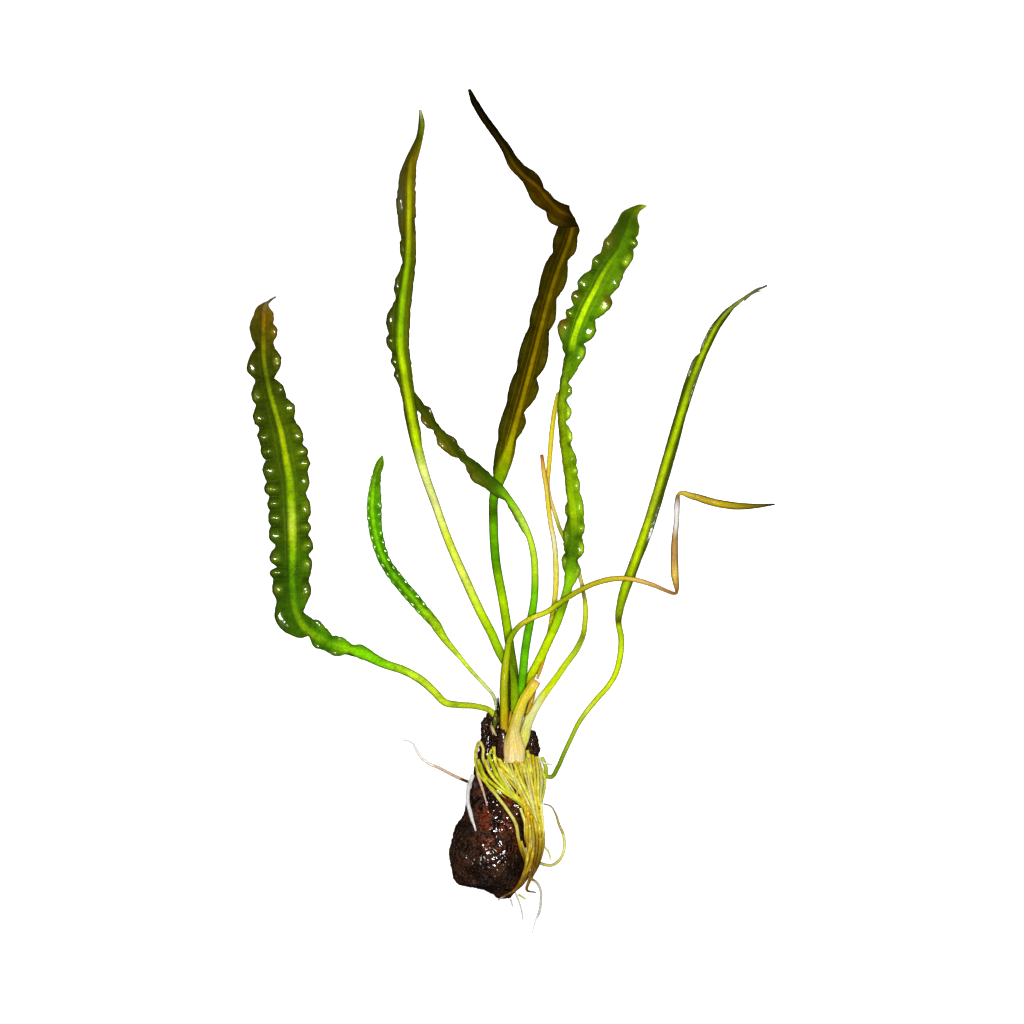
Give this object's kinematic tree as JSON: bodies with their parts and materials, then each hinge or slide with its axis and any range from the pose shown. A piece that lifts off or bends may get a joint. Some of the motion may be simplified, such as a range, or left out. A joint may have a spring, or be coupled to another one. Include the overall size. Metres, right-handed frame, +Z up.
{
  "type": "aponogeton longiplumulosus aquarium plant",
  "caption": "Uprooted Aponogeton aquarium plant lying on its side: lumpy tuber with a root bundle, a cut crown stub, long ruffled strap leaves and wilting stalks.",
  "frame": {"origin": "flat underside of the tuber's belly, on the surface that the plant lies on", "axes": "+Z up from the surface, +Y from the tuber along the leaves, +X to the right as seen from above"},
  "size_m": [0.176, 0.2817, 0.0215],
  "materials": {
    "tuber_skin": "satin",
    "crown_tan": "satin",
    "leaf_dark": "satin",
    "leaf_fresh": "satin",
    "leaf_bright": "satin",
    "leaf_brown": "satin",
    "leaf_long": "satin",
    "stalk_olive": "satin",
    "stalk_straw": "satin",
    "stalk_sallow": "satin",
    "root_yellow": "satin",
    "root_pale": "satin"
  },
  "bodies": {
    "root": {"tuber": "tuber_skin", "crown_stub": "crown_tan", "leaf_left_ruffled": "leaf_dark", "leaf_small_left": "leaf_fresh", "leaf_tall": "leaf_dark", "leaf_brown_folded": "leaf_brown", "leaf_arched": "leaf_dark", "leaf_broad_ruffled": "leaf_bright", "leaf_long_right": "leaf_long", "stem_dying": "stalk_olive", "stem_yellow": "stalk_straw", "leaf_yellowed": "stalk_sallow", "bract": "stalk_straw", "sheath": "stalk_straw", "root_pale_left": "root_pale", "root_side_left": "root_pale", "root_cream_a": "root_pale", "root_cream_b": "root_pale", "root_yellow_inner": "root_pale", "root_pink": "root_pale", "root_right_a": "root_yellow", "root_right_b": "root_yellow", "root_brown_a": "root_yellow", "root_hairpin": "root_yellow", "root_long_under": "root_yellow", "root_front_a": "root_yellow", "root_front_b": "root_yellow", "root_loop": "root_yellow", "root_mid_a": "root_yellow", "root_mid_b": "root_yellow", "root_mid_c": "root_yellow", "root_tail_a": "root_yellow", "root_tail_white": "root_pale", "root_hair_a": "root_pale", "root_hair_b": "root_pale", "root_hair_c": "root_pale", "root_hair_d": "root_pale", "root_hair_right": "root_pale"}
  },
  "joints": []
}
